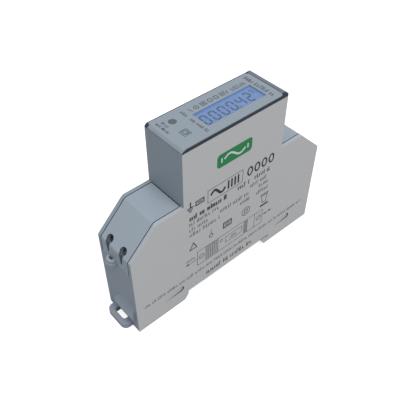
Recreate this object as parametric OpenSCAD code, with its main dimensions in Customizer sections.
// Single-phase energy meter, one module wide, for a 35 mm top-hat rail.
// X runs along the module (the rail clip's pull tab is at -X), Y across it (the printed side is at -Y),
// and Z points away from the rail. z = 0 is the rail's face and x = 0 the middle of the nose.

/* [Case] */
// Width of the module
case_w = 17.8; // [17.6:0.1:18]
// Length of the nose that shows through a 45 mm panel cut-out
nose_l = 44.6; // [44.2:0.1:45]
// Length of the case from end wall to end wall
case_l = 88.2; // [87.6:0.2:90]
// Height of the front plate above the rail
front_z = 67.9; // [67.5:0.1:69]
// Height of the shoulders on each side of the nose
shoulder_z = 44.8; // [44.4:0.1:45.4]
// Distance from the middle to the crease between shoulder and slope
crease_x = 33.1; // [32.8:0.1:33.6]
// Height where the slope meets the end wall
slope_z = 34.0; // [33.8:0.1:34.4]
// Depth of the feet behind the rail's face
foot_h = 3.9; // [3.8:0.1:4.2]
// Thickness of the case walls
wall = 1.4; // [1.3:0.05:1.5]

/* [Front] */
// Height of the dark frame that carries the front plate
bezel_h = 1.2; // [1:0.1:1.4]
// Width of the dark rim left beside the front plate
rim_w = 0.35; // [0.3:0.05:0.8]
// Length of the display window
window_l = 24.6; // [22:0.2:26]
// Width of the display window
window_w = 7.6; // [7:0.1:8]
// Side of the square scroll key
key_side = 2.6; // [2.5:0.1:3.2]
// Diameter of the pulse lamp's lens
lamp_d = 2.6; // [2:0.1:3]

/* [Terminals] */
// Distance from the middle of the module to each main terminal
pole_y = 3.65; // [3.6:0.01:3.7]
// Distance from the middle of the nose to the main terminal screws
screw_x = 32; // [31.9:0.1:32.2]
// Radius of the main terminal screws
screw_r = 1.75; // [1.5:0.05:2]
// Lift of the clamp cages from open to shut
cage_lift = 5; // [4:0.5:5]
// Distance from the middle of the module to each small terminal
small_y = 3.6; // [3.5:0.05:3.7]

/* [Rail clip] */
// Middle of the clip across the module
clip_y = 0.6; // [0.4:0.1:0.8]
// Width of the clip
clip_w = 11; // [10:0.5:11]
// How far the pull tab stands out past the end wall
tab_out = 3.5; // [3:0.5:4]
// Travel of the clip from gripping to released
clip_travel = 5; // [4:0.5:5]

/* [Hidden] */

$fn = 48;
cut = 1;                                // how far a cutting shape runs past the face that it opens
gap = 0.1;                              // assembly clearance between separate pieces

case_grey = [0.74, 0.76, 0.78];
cover_grey = [0.66, 0.70, 0.74];
dark = [0.16, 0.19, 0.24];
board_green = [0.10, 0.32, 0.20];
chip_black = [0.10, 0.10, 0.11];
copper = [0.80, 0.50, 0.32];
steel = [0.66, 0.67, 0.70];
brass = [0.78, 0.66, 0.36];

half_w = case_w / 2;
inner_y = half_w - wall;                // inside face of both side walls
end_x = case_l / 2;
nose_x = nose_l / 2;
nose_z = front_z - bezel_h;             // top of the side walls of the nose
slope_angle = atan2(shoulder_z - slope_z, end_x - crease_x);

floor_z = wall;                         // inside floor over the rail
foot_floor_z = 0.2;                     // top of the floor over each foot
foot_skin_z = -1.3;                     // underside of that floor, over the clip
shelf_z = 13.4;                         // top of the shelf under the terminals
cover_end_z = 27.3;                     // lower edge of the terminal covers
cover_t = 1.3;                          // thickness of the terminal covers
seam = 0.3;                             // visible gap round the terminal covers

recess_x0 = -21.1;                      // rail recess, clip side
hook_tip_x = 17.2;                      // rail recess, tip of the fixed hook
hook_deep_x = 20.8;                     // bottom of the hook's groove
rail_t = 1.2;                           // slot for the 1 mm rail flange
seat_x = [-13.8, 16.8];                 // face that rests on the rail, between the hook and the clip
seat_relief = 0.15;                     // how far the recess floor is let back beside it

// ---------- outlines ----------

function unit(v) = v / norm(v);
function short_turn(a) = a > 180 ? a - 360 : a < -180 ? a + 360 : a;

// Corner p between a and b as an arc of radius r
function round_corner(a, p, b, r, n = 5) =
    r <= 0 ? [p] :
    let (u = unit(a - p), v = unit(b - p), half = acos(u * v) / 2,
         centre = p + unit(u + v) * (r / sin(half)),
         s = p + u * r / tan(half) - centre, e = p + v * r / tan(half) - centre,
         a0 = atan2(s.y, s.x), turn = short_turn(atan2(e.y, e.x) - a0))
    [for (i = [0:n]) centre + r * [cos(a0 + turn * i / n), sin(a0 + turn * i / n)]];

function flat(p) = [p[0], p[1]];

// Outline whose points are [x, z, corner radius]
function rounded(pts) = let (n = len(pts))
    [for (i = [0:n - 1])
        each round_corner(flat(pts[(i + n - 1) % n]), flat(pts[i]), flat(pts[(i + 1) % n]), pts[i][2])];

// Child drawn in X and Z, thick from y0 to y1
module slab(y0, y1)
    translate([0, y1, 0]) rotate([90, 0, 0]) linear_extrude(y1 - y0) children();

// Box between two corners
module block(low, high)
    translate(low) cube(high - low);

// Side view of the whole case, with the rail recess and the fixed hook
module case_outline()
    polygon(rounded([
        [-end_x, -foot_h, 0.5], [-end_x, slope_z, 1.5], [-crease_x, shoulder_z, 2],
        [-nose_x, shoulder_z, 0], [-nose_x, nose_z, 0], [nose_x, nose_z, 0], [nose_x, shoulder_z, 0],
        [crease_x, shoulder_z, 2], [end_x, slope_z, 1.5], [end_x, -foot_h, 0.5],
        [hook_tip_x + 1.9, -foot_h, 0.4], [hook_tip_x, -rail_t, 0], [hook_deep_x, -rail_t, 0],
        [hook_deep_x, seat_relief, 0], [seat_x[1], seat_relief, 0], [seat_x[1], 0, 0], [seat_x[0], 0, 0],
        [seat_x[0], seat_relief, 0], [recess_x0, seat_relief, 0], [recess_x0, -1.6, 0],
        [recess_x0 - 1.8, -foot_h, 0.4]]));

// Hollows of the case between its two side walls, in X and Z
module case_hollows() {
    translate([-nose_x + wall, floor_z]) square([nose_l - 2 * wall, front_z]);
    for (side = [-1, 1]) scale([side, 1]) {
        polygon([[nose_x, shelf_z], [nose_x, front_z], [end_x + 9, front_z], [end_x + 9, cover_end_z - gap],
                 [end_x - wall, cover_end_z - gap], [end_x - wall, shelf_z]]);
        translate([nose_x, foot_floor_z]) square([end_x - wall - nose_x, shelf_z - wall - foot_floor_z]);
    }
    // cored pockets in the foot behind the fixed hook
    for (x = [24.2, 34]) translate([x, -foot_h - cut]) square([8.2, foot_h + foot_skin_z + cut]);
}

// Half-round seal eye that stands out of the end wall, between two heights
module seal_eye(r, z0, z1)
    difference() {
        translate([-end_x, 2, z0]) cylinder(r = r, h = z1 - z0);
        translate([-end_x, 2, z0 - cut]) cylinder(r = 1, h = z1 - z0 + 2 * cut);
        block([-end_x + 0.6, -9, z0 - cut], [-end_x + 9, 9, z1 + cut]);
    }

// Lengthwise opening in the nose end walls or shelf for a bar that passes at the given pole
module bar_slot(y) block([-end_x + 12, y - 2.6, bar_z - gap], [end_x - 12, y + 2.6, bar_z + bar_t + gap]);

// ---------- case ----------

// Far wall, end walls, shelves, rail foot and hook in one moulding
module case_tray() color(case_grey) difference() {
    union() {
        slab(inner_y, half_w) case_outline();
        slab(-inner_y, inner_y) difference() { case_outline(); case_hollows(); }
        // raised top of the nose's far end wall, which the front plate runs up to
        block([nose_x - wall, -inner_y, nose_z], [nose_x, half_w - 0.4, front_z - 0.1]);
        for (end = [0, 180]) rotate(end) case_end_details(end == 0);
        // sockets for the lid's pegs
        for (p = peg_places) translate([p.x, inner_y, p.y]) rotate([90, 0, 0])
            cylinder(r = peg_r + 0.8, h = 4);
    }
    for (p = peg_places) translate([p.x, inner_y - 1, p.y]) rotate([90, 0, 0])
        cylinder(r = peg_r + 0.05, h = 9);
    for (y = [-pole_y, pole_y]) bar_slot(y);
    // thin break-outs for the main conductors, pressed in from inside
    for (x = [-end_x + wall, end_x - wall], y = [-pole_y, pole_y])
        translate([x, y, wire_z]) rotate([0, 90, 0]) cylinder(r = 2.9, h = 1.6, center = true);
    clip_channel();
}

// Seal eye under the cover's eye, and at the clip end the pointed hood over the pull tab
module case_end_details(clip_end) {
    seal_eye(2.4, cover_end_z - 1.3, cover_end_z - gap);
    if (clip_end) intersection() {
        slab(-inner_y, inner_y) polygon([[-end_x + 0.5, 11.6], [-end_x, 11.6], [-end_x - 0.3, 7],
                                         [-end_x - 1.5, 4.9], [-end_x - 1.5, 3.7], [-end_x - 0.6, 2],
                                         [-end_x, 1], [-end_x + 0.5, 1]]);
        translate([-end_x - 3, 0, 0]) rotate([90, 0, 90]) linear_extrude(4)
            polygon([[3.1, 0], [3.1, 6.5], [-1.3, 12], [-7.3, 7.5], [-7.3, 0]]);
    }
}

peg_r = 0.9;
peg_end_y = 4.5;                        // how far the lid's pegs reach across the case
peg_places = [for (side = [-1, 1]) each [[19 * side, 4.6], [19 * side, 55], [25.2 * side, 18]]];

grip_r = 1.4;                           // half width of the shallow grips near the feet

// Shallow sloping grip in a side wall, deepest and round at its +X end
module grip(x, len = 9, deep = 0.5)
    translate([x, -half_w + deep, 4.2]) rotate([0, 0, atan2(deep, len)]) slab(-cut - deep, 0) {
        translate([-len, -grip_r]) square([len - grip_r, 2 * grip_r]);
        translate([-grip_r, 0]) circle(r = grip_r);
    }

// Printed side wall, with pegs that seat in the tray's sockets
module case_lid() color(case_grey) {
    difference() {
        slab(-half_w, -inner_y) case_outline();
        for (x = [-23.2, 32.4]) grip(x);
    }
    for (p = peg_places) translate([p.x, peg_end_y, p.y]) rotate([90, 0, 0])
        cylinder(r = peg_r, h = peg_end_y + inner_y + 0.2);
}

// ---------- rail clip ----------

post_x = [-34, -31];                    // clip post at rest
post_y = [clip_y - 1.4, clip_y + 1.4];
clip_top_z = -1.4;
clip_low_z = -foot_h + 0.1;
spring_z = 2.3;

// Channel under the foot's floor that the clip slides in, and the slot for its post
module clip_channel() {
    block([-end_x - cut, clip_y - clip_w / 2 - gap, -foot_h - cut],
          [recess_x0 + cut, clip_y + clip_w / 2 + gap, foot_skin_z]);
    block([post_x[0] - clip_travel - 0.2, post_y[0] - gap, foot_skin_z - cut],
          [post_x[1] + gap, post_y[1] + gap, foot_floor_z + cut]);
}

// Flat slider with a nose for the rail, an eye to pull it by, and a post up to its spring
module rail_clip() color(cover_grey) {
    difference() {
        slab(clip_y - clip_w / 2, clip_y + clip_w / 2)
            polygon([[-end_x - tab_out, clip_low_z], [-end_x - tab_out, clip_top_z],
                     [-14.2, clip_top_z], [-14.2, clip_top_z - 0.7], [-15.8, clip_low_z]]);
        tab_corners();
        // eye of the pull tab
        round_slot([-end_x - tab_out + 1.75, -end_x + 2.4], clip_y - 2.9, clip_y + 2.9);
        // two weight-saving slots along the slider
        for (y = [clip_y - 3.3, clip_y + 3.3])
            block([-29, y - 1, clip_low_z - cut], [-20, y + 1, clip_top_z + cut]);
    }
    block([post_x[0], post_y[0], clip_top_z - 0.5], [post_x[1], post_y[1], 1]);
    block([post_x[0], clip_y - 2.7, foot_floor_z + gap], [post_x[1], clip_y + 2.7, 4.2]);
    translate([post_x[0], clip_y, spring_z]) rotate([0, -90, 0]) cylinder(r = 0.9, h = 1.2);
}

// Slot with round corners cut through the clip
module round_slot(xs, y0, y1) {
    r = 0.9;
    translate([0, 0, clip_low_z - cut]) {
        for (x = [xs[0] + r, xs[1] - r], y = [y0 + r, y1 - r]) translate([x, y, 0]) cylinder(r = r, h = 5);
        translate([xs[0] + r, y0, 0]) cube([xs[1] - xs[0] - 2 * r, y1 - y0, 5]);
        translate([xs[0], y0 + r, 0]) cube([xs[1] - xs[0], y1 - y0 - 2 * r, 5]);
    }
}

// Waste outside the rounded corners of the pull tab
module tab_corners() {
    r = 2.2;
    for (side = [-1, 1]) translate([-end_x - tab_out, clip_y + side * clip_w / 2, clip_low_z - cut])
        difference() {
            translate([-cut, side > 0 ? -r : -cut, 0]) cube([r + cut, r + cut, 5]);
            translate([r, -side * r, -cut]) cylinder(r = r, h = 5 + 2 * cut);
        }
}

spring_r = 1.45;
spring_wire_r = 0.22;
spring_x = [-end_x + wall + spring_wire_r + 0.03, post_x[0] - spring_wire_r - 0.03];
spring_turns = 7;

// Ring of a round wire, normal to a helix that runs along X
function helix_ring(t, sides = 6) =
    let (a = 360 * spring_turns * t, x = spring_x[0] + (spring_x[1] - spring_x[0]) * t)
    [for (k = [0:sides - 1])
        let (b = 360 * k / sides, r = spring_r + spring_wire_r * cos(b))
        [x + spring_wire_r * sin(b), clip_y + r * cos(a), spring_z + r * sin(a)]];

// Compression spring between the end wall and the clip's post
module clip_spring() color(steel) {
    sides = 6;
    steps = spring_turns * 14;
    polyhedron(
        [for (i = [0:steps]) each helix_ring(i / steps, sides)],
        concat([[for (k = [sides - 1:-1:0]) k]],
               [for (i = [0:steps - 1], k = [0:sides - 1])
                   let (a = i * sides + k, b = i * sides + (k + 1) % sides) [b, b + sides, a + sides, a]],
               [[for (k = [0:sides - 1]) steps * sides + k]]));
}

// ---------- terminal covers ----------

// Path of the cover's outer face and inner face in X and Z, at the clip end
module cover_profile() {
    bend = cover_t * tan(slope_angle / 2);
    end_bend = cover_t * tan((90 - slope_angle) / 2);
    polygon(rounded([
        [-nose_x - seam, shoulder_z, 0], [-crease_x, shoulder_z, 2], [-end_x, slope_z, 1.5],
        [-end_x, cover_end_z, 0], [-end_x + cover_t, cover_end_z, 0],
        [-end_x + cover_t, slope_z - end_bend, 0], [-crease_x + bend, shoulder_z - cover_t, 0],
        [-nose_x - seam, shoulder_z - cover_t, 0]]));
}

key_r = 1.5;                            // round part of the keyholes
key_hole_r = 1.15;                      // opening in it, over the small terminal's screw
key_up = 1.9;                           // its distance up the slope from the end wall
key_deep = 0.8;                         // depth of the hollow round the opening
tail_r = 0.8;                           // half width of the keyhole's tail at the bend
tail_z = 29.8;                          // lower tip of the keyhole's tail

// Teardrop hollow in the slope that runs on down the end wall, with a round opening
module keyhole(y) {
    translate([-end_x, y, slope_z]) rotate([0, -slope_angle, 0]) {
        translate([0, 0, -key_deep]) linear_extrude(4)
            polygon([for (a = [-40:10:220]) [key_up + key_r * sin(a), key_r * cos(a)],
                     each [[-1.5, -tail_r], [-1.5, tail_r]]]);
        translate([key_up, 0, -4]) cylinder(r = key_hole_r, h = 4);
    }
    translate([-end_x - cut, y, 0]) rotate([90, 0, 90]) linear_extrude(cut + key_deep)
        polygon([[-tail_r, slope_z + 0.2], [-tail_r / 2, tail_z],
                 [tail_r / 2, tail_z], [tail_r, slope_z + 0.2]]);
}

// Sealable cover of one terminal end: shoulder, slope and tongue, two keyholes and a seal eye
module terminal_cover() color(cover_grey) {
    difference() {
        slab(-inner_y + seam, inner_y - seam) cover_profile();
        for (y = [-small_y, small_y]) keyhole(y);
    }
    seal_eye(1.95, cover_end_z, cover_end_z + 1.1);
    // guide ribs on the underside, which stiffen the shoulder
    for (y = [-5.6, 5.6])
        block([-30, y - 0.4, 41.6], [-24, y + 0.4, shoulder_z - cover_t + 0.1]);
}

module terminal_cover_in() terminal_cover();
module terminal_cover_out() rotate(180) terminal_cover();

// ---------- main terminals ----------

bar_z = 24.1;                           // underside of the bars
bar_t = 1.2;
bar_w = 5;
wire_z = 20.9;                          // middle of the conductor under the bar
cage_x = 3.8;                           // half length of a cage
cage_y = 3.2;                           // half width of a cage
cage_low_z = 16.6;
cage_top_z = 30.2;
head_z = cage_top_z + cage_lift + gap;  // underside of the screw head
head_h = 1.9;
head_r = 2.6;
ledge_z = head_z + head_h + gap;

// Insulating carrier for the two clamps of one end, drawn at the clip end
module terminal_block() color(chip_black) difference() {
    slab(-inner_y + gap, inner_y - gap) polygon([
        [-end_x + wall + gap, shelf_z + gap], [-end_x + wall + gap, 27], [-36, 27], [-36, ledge_z + 0.9],
        [-27.2, ledge_z + 0.9], [-27.2, shelf_z + gap]]);
    for (y = [-pole_y, pole_y]) {
        block([-screw_x - cage_x - gap, y - cage_y - gap, cage_low_z - 0.8],
              [-screw_x + cage_x + gap, y + cage_y + gap, ledge_z]);
        block([-screw_x, y - 2.6, bar_z - gap], [-20, y + 2.6, bar_z + bar_t + gap]);
        // conductor guide from the end wall
        translate([-end_x, y, wire_z]) rotate([0, 90, 0]) cylinder(r = 2.6, h = 10);
        // screwdriver hole
        translate([-screw_x, y, ledge_z - cut]) cylinder(r = 2.1, h = 4);
    }
    // sockets of the lid's pegs
    block([-30, -half_w, 12], [-22, half_w, 20.6]);
}

module terminal_block_in() terminal_block();
module terminal_block_out() rotate(180) terminal_block();

// Steel cage that lifts the conductor against the bar
module cage(y) color(steel) translate([-screw_x, y, 0]) difference() {
    block([-cage_x, -cage_y, cage_low_z], [cage_x, cage_y, cage_top_z]);
    block([-cage_x - cut, -cage_y + 0.6, cage_low_z + 1.2], [cage_x + cut, cage_y - 0.6, cage_top_z - 1.6]);
    translate([0, 0, cage_top_z - 2]) cylinder(r = screw_r + 0.05, h = 3);
}

// Slotted clamp screw that turns in place and raises its cage
module clamp_screw(y) color(steel) translate([-screw_x, y, 0]) difference() {
    union() {
        translate([0, 0, bar_z + bar_t + gap]) cylinder(r = screw_r, h = head_z - bar_z - bar_t);
        translate([0, 0, head_z]) cylinder(r = head_r, h = head_h);
    }
    for (a = [0, 90]) rotate(a)
        block([-1.9, -0.35, head_z + head_h - 1.1], [1.9, 0.35, head_z + head_h + cut]);
}

module line_in_cage() cage(-pole_y);
module line_in_screw() clamp_screw(-pole_y);
module neutral_in_cage() cage(pole_y);
module neutral_in_screw() clamp_screw(pole_y);
module line_out_cage() rotate(180) cage(pole_y);
module line_out_screw() rotate(180) clamp_screw(pole_y);
module neutral_out_cage() rotate(180) cage(-pole_y);
module neutral_out_screw() rotate(180) clamp_screw(-pole_y);

bar_end = screw_x + 3.6;                // tongue under the screw
shunt_x = 5;                            // half length of the shunt

module bar(x0, x1, y) block([x0, y - bar_w / 2, bar_z], [x1, y + bar_w / 2, bar_z + bar_t]);

module line_in_bar() color(copper) bar(-bar_end, -shunt_x, -pole_y);
module line_out_bar() color(copper) bar(shunt_x, bar_end, -pole_y);
module neutral_bar() color(copper) bar(-bar_end, bar_end, pole_y);

// Measuring resistor welded between the two line bars, waisted, with a tap pin at each end
module current_shunt() color(brass) difference() {
    union() {
        bar(-shunt_x, shunt_x, -pole_y);
        for (x = [-3.6, 3.6])
            block([x - 0.4, -pole_y + 1.4, bar_z + bar_t], [x + 0.4, -pole_y + 2.2, bar_z + 4]);
    }
    for (y = [-pole_y - 2.6, -pole_y + 2.6]) translate([0, y, bar_z - cut]) cylinder(r = 0.9, h = 4);
}

// ---------- small terminals ----------

small_screw_r = 1;
small_head_r = 1.3;

// Places a child on the axis of a keyhole, with +Z out of the slope
module on_keyhole(y)
    translate([-end_x, y, slope_z]) rotate([0, -slope_angle, 0]) translate([key_up, 0, 0]) children();

// Insulating two-pole body under the keyholes
module small_terminal() color([0.16, 0.42, 0.30]) difference() {
    slab(-inner_y + gap, inner_y - gap)
        polygon([[-end_x + wall + gap, 27.1], [-end_x + wall + gap, 33.2],
                 [-38.8, 36.8], [-36.1, 36.8], [-36.1, 27.1]]);
    for (y = [-small_y, small_y]) {
        on_keyhole(y) block([-1.75, -1.75, -6.4], [1.75, 1.75, -3.1]);
        on_keyhole(y) translate([0, 0, -3.2]) cylinder(r = small_head_r + 0.2, h = 4);
        translate([-end_x, y, 30.9]) rotate([0, 90, 0]) cylinder(r = 0.9, h = 5);
    }
}

// The two brass pillars of a small terminal
module small_pillars() color(brass)
    for (y = [-small_y, small_y]) difference() {
        on_keyhole(y) block([-1.7, -1.7, -6.35], [1.7, 1.7, -3.15]);
        on_keyhole(y) translate([0, 0, -5]) cylinder(r = small_screw_r + 0.05, h = 4);
        translate([-end_x, y, 30.9]) rotate([0, 90, 0]) cylinder(r = 0.8, h = 9);
    }

// Slotted screw of one small terminal
module small_screw(y) color(steel) on_keyhole(y) difference() {
    union() {
        translate([0, 0, -4.9]) cylinder(r = small_screw_r, h = 2);
        translate([0, 0, -3.05]) cylinder(r = small_head_r, h = 0.9);
    }
    block([-2, -0.2, -2.6], [2, 0.2, -2]);
}

module bus_terminal() small_terminal();
module bus_pillars() small_pillars();
module bus_screw_a() small_screw(-small_y);
module bus_screw_b() small_screw(small_y);
module pulse_terminal() rotate(180) small_terminal();
module pulse_pillars() rotate(180) small_pillars();
module pulse_screw_a() rotate(180) small_screw(small_y);
module pulse_screw_b() rotate(180) small_screw(-small_y);

// ---------- front ----------

window_x = 3.75;                        // middle of the display window
window_y = -1.15;
lamp_at = [-15.4, 3.9];
key_at = [-15.8, -2.7];
plate_t = 0.6;
plate_x0 = -nose_x + 1;
plate_x1 = nose_x - wall - 0.4;
plate_y = half_w - rim_w;
far_rim = 0.2;                          // how much wider the rim is on the far side
bezel_z = front_z - 0.2;                // top of the dark rim
glass_z = front_z - plate_t - 0.05;     // face of the display glass
glass_low = [-9.2, -6.3];               // corners of the display glass
glass_high = [16.8, 3.9];

// Outline of the front plate, with clipped corners at its far end
module plate_outline(grow = 0) {
    c = 0.9;
    x0 = plate_x0 - grow; x1 = plate_x1 + grow;
    y0 = -plate_y - grow; y1 = plate_y - far_rim + grow;
    polygon([[x0, y0], [x0, y1], [x1 - c, y1], [x1, y1 - c], [x1, y0 + c], [x1 - c, y0]]);
}

// End of the front plate that turns down over the frame, at the clip end of the nose
module plate_return(grow = 0)
    slab(-half_w + 0.1 - grow, half_w - 1.5 + grow)
        polygon(rounded([
            [-nose_x + 0.05, nose_z + 0.1 - grow, 0], [-nose_x + 0.05, nose_z + 0.35, 0],
            [plate_x0 - 0.1, front_z, 0.5], [plate_x0 + 0.4, front_z, 0],
            [plate_x0 + 0.4, front_z - plate_t + 0.02 - grow, 0],
            [plate_x0, front_z - plate_t + 0.02 - grow, 0],
            [-nose_x + 0.35 + grow, nose_z + 0.1 - grow, 0]]));

// Places a child at the middle of the window, key or lamp, at height z
module at_window(z) translate([window_x, window_y, z]) children();
module at_key(z) translate([key_at.x, key_at.y, z]) children();
module at_lamp(z) translate([lamp_at.x, lamp_at.y, z]) children();
module centred_box(l, w, h) translate([-l / 2, -w / 2, 0]) cube([l, w, h]);

// Dark frame on top of the nose, with a skirt that drops inside it
module front_bezel() color(dark) difference() {
    union() {
        intersection() {
            block([-nose_x + 0.05, -half_w, nose_z], [nose_x - wall - 0.05, half_w, bezel_z]);
            slab(-half_w, half_w) polygon([[-nose_x, nose_z], [-nose_x, nose_z + 0.25],
                [plate_x0 - 0.1, front_z - 0.1], [nose_x, front_z - 0.1], [nose_x, nose_z]]);
        }
        // rim that closes the corners beside the raised end wall
        for (ys = [[-half_w, -inner_y - 0.05], [half_w - 0.35, half_w]])
            block([nose_x - wall - 0.1, ys[0], nose_z], [nose_x - 0.05, ys[1], front_z - 0.1]);
        block([-nose_x + wall + gap, -inner_y + gap, nose_z - 1],
              [nose_x - wall - gap, inner_y - gap, nose_z]);
    }
    translate([0, 0, front_z - plate_t]) linear_extrude(plate_t + cut) plate_outline(0.02);
    plate_return(0.02);
    block([glass_low.x - gap, glass_low.y - gap, nose_z - 2],
          [glass_high.x + gap, glass_high.y + gap, front_z]);
    at_key(nose_z - 2) centred_box(key_side + 1.4, key_side + 1.4, 5);
    at_lamp(nose_z - 2) cylinder(r = lamp_d / 2 + 0.6, h = 5);
}

// Pale front plate with the window, key and lamp openings
module front_plate() color([0.62, 0.66, 0.70]) difference() {
    union() {
        translate([0, 0, front_z - plate_t + 0.02]) linear_extrude(plate_t - 0.02) plate_outline();
        plate_return();
    }
    at_window(front_z - 2) centred_box(window_l, window_w, 5);
    at_key(front_z - 2) centred_box(key_side + 0.3, key_side + 0.3, 5);
    at_lamp(front_z - 2) cylinder(r = lamp_d / 2 + 0.05, h = 5);
}

// Clear pane set flush in the front plate
module display_window() color([0.6, 0.75, 0.95, 0.5])
    at_window(front_z - plate_t) centred_box(window_l - 0.1, window_w - 0.1, plate_t - 0.08);

// Clear light guide from the lamp to the front
module lamp_lens() color([0.5, 0.3, 0.3]) {
    at_lamp(front_z - 2.6) cylinder(r = lamp_d / 2, h = 2.4);
    at_lamp(front_z - 3) cylinder(r = lamp_d / 2 + 0.4, h = 0.9);
}

// Square key cap on a stem, with a flange that keeps it in the plate
module scroll_key() color(cover_grey) {
    at_key(front_z - 1.6) centred_box(key_side, key_side, 1.65);
    at_key(front_z - 2.4) centred_box(key_side + 0.9, key_side + 0.9, 1);
    at_key(board_top + 2.1) cylinder(r = 0.9, h = front_z - board_top - 4.2);
}

// Plunger of the tact switch, which the key's stem stands on
module switch_plunger() color([0.75, 0.2, 0.15])
    at_key(board_top + 1.1) cylinder(r = 0.8, h = 1);

// ---------- display and boards ----------

board_z = 60;                           // underside of the display board
board_t = 1;
board_top = board_z + board_t;

module tact_switch() color(steel) difference() {
    at_key(board_top) centred_box(4.2, 3.6, 1.6);
    at_key(board_top + 0.5) cylinder(r = 0.9, h = 2);
}

module display_glass() color([0.35, 0.5, 0.75])
    block([glass_low.x, glass_low.y, glass_z - 1.9], [glass_high.x, glass_high.y, glass_z]);

// Light guide under the glass, with lugs that stand on the board
module backlight() color([0.85, 0.88, 0.92]) {
    block([-9.2, -6.2, 62], [16.8, 2.3, glass_z - 1.95]);
    for (x = [-8.2, 15.8], y = [-5.4, 1.5]) translate([x, y, board_top]) cylinder(r = 0.7, h = 1.1);
}

// Elastomer strip that connects the glass to the board
module contact_strip() color([0.25, 0.25, 0.27])
    block([-8.6, 2.6, board_top], [16.2, 3.7, glass_z - 1.95]);

module display_board() color(board_green)
    block([-20.6, -7.1, board_z], [20.6, 7.1, board_top]);

// Red lamp that flashes for each metered pulse
module pulse_lamp() color([0.8, 0.15, 0.12]) {
    at_lamp(board_top) cylinder(r = 1.7, h = 0.9);
    at_lamp(board_top + 0.9) cylinder(r = 1.2, h = 1.6);
    at_lamp(board_top + 2.5) sphere(r = 1.2);
}

board_y = 0.6;                          // half thickness of the main board

module main_board() color(board_green)
    block([-17.6, -board_y, 7.6], [17.6, board_y, 57.6]);

// Row of eight pins that joins the main board to the display board
module board_header() {
    color(chip_black) block([-10, -2.4, 55.4], [10, -board_y, 57.4]);
    color(brass) for (i = [0:7])
        translate([2.54 * i - 8.9, 0, 0]) block([-0.3, -1.8, 57.4], [0.3, -1.2, board_z]);
}

// Flat package on the -Y face of the main board, with legs along two sides
module chip(x, z, l, h, legs) {
    color(chip_black) block([x - l / 2, -board_y - 1.7, z - h / 2], [x + l / 2, -board_y - 0.2, z + h / 2]);
    color(steel) for (i = [0:legs - 1], side = [-1, 1]) {
        px = x - l / 2 + l * (i + 0.5) / legs;
        block([px - 0.15, -board_y - 0.8, z + side * h / 2 - (side < 0 ? 0.9 : 0.05)],
              [px + 0.15, -board_y, z + side * h / 2 + (side < 0 ? 0.05 : 0.9)]);
    }
}

module metering_chip() chip(0, 15, 10, 5, 12);
module processor_chip() chip(-6, 44, 8, 8, 10);
module pulse_coupler() chip(10, 45, 5, 6.2, 2);

module clock_crystal() color(steel)
    translate([6.5, -board_y - 2.1, 35]) rotate([0, 90, 0]) cylinder(r = 1.4, h = 7);

// Moulded film capacitor of the dropper supply
module mains_capacitor() color([0.85, 0.7, 0.15])
    block([-14, board_y, 31], [3, board_y + 6, 43]);

// Electrolytic can lying on the board
module smoothing_capacitor() color(dark)
    translate([0, board_y + 3.2, 49.8]) rotate([0, -90, 0]) cylinder(r = 3.15, h = 12);

module varistor() color([0.15, 0.3, 0.6])
    translate([10, board_y, 38]) rotate([-90, 0, 0]) cylinder(r = 4.5, h = 3.6);

case_tray();
case_lid();
front_bezel();
front_plate();
display_window();
lamp_lens();
scroll_key();
switch_plunger();
tact_switch();
display_glass();
backlight();
contact_strip();
display_board();
pulse_lamp();
main_board();
board_header();
metering_chip();
processor_chip();
clock_crystal();
mains_capacitor();
smoothing_capacitor();
varistor();
pulse_coupler();
current_shunt();
line_in_bar();
line_out_bar();
neutral_bar();
terminal_block_in();
terminal_block_out();
line_in_cage();
line_in_screw();
neutral_in_cage();
neutral_in_screw();
line_out_cage();
line_out_screw();
neutral_out_cage();
neutral_out_screw();
bus_terminal();
bus_pillars();
bus_screw_a();
bus_screw_b();
pulse_terminal();
pulse_pillars();
pulse_screw_a();
pulse_screw_b();
terminal_cover_in();
terminal_cover_out();
rail_clip();
clip_spring();
